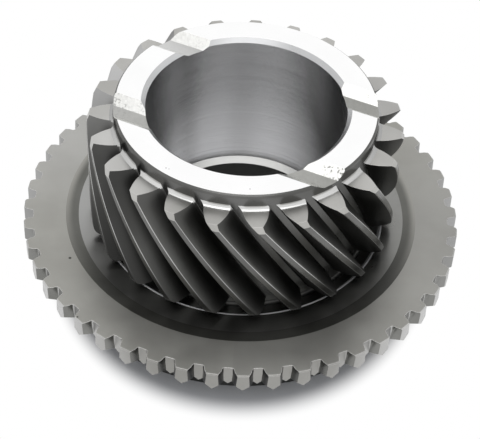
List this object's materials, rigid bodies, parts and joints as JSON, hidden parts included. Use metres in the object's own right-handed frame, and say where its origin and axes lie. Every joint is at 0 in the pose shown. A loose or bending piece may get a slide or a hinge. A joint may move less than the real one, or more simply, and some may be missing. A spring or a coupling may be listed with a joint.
{
  "type": "transmission gear",
  "caption": "Left-hand helical gear with a slotted thrust collar, a plain running bore and a wide clutch flange ringed with pointed dog teeth.",
  "frame": {"origin": "on the bore's axis, in the plane that the part rests on, the underside of the friction cone and hub", "axes": "+Z along the bore's axis, from the clutch flange up to the collar's thrust face"},
  "size_m": [0.125, 0.125, 0.056],
  "materials": {
    "gear_steel": "case-hardened steel, ground on the collar, bore and tooth flanks and plain turned on the flange"
  },
  "bodies": {
    "root": {"transmission_gear": "gear_steel"}
  },
  "joints": []
}
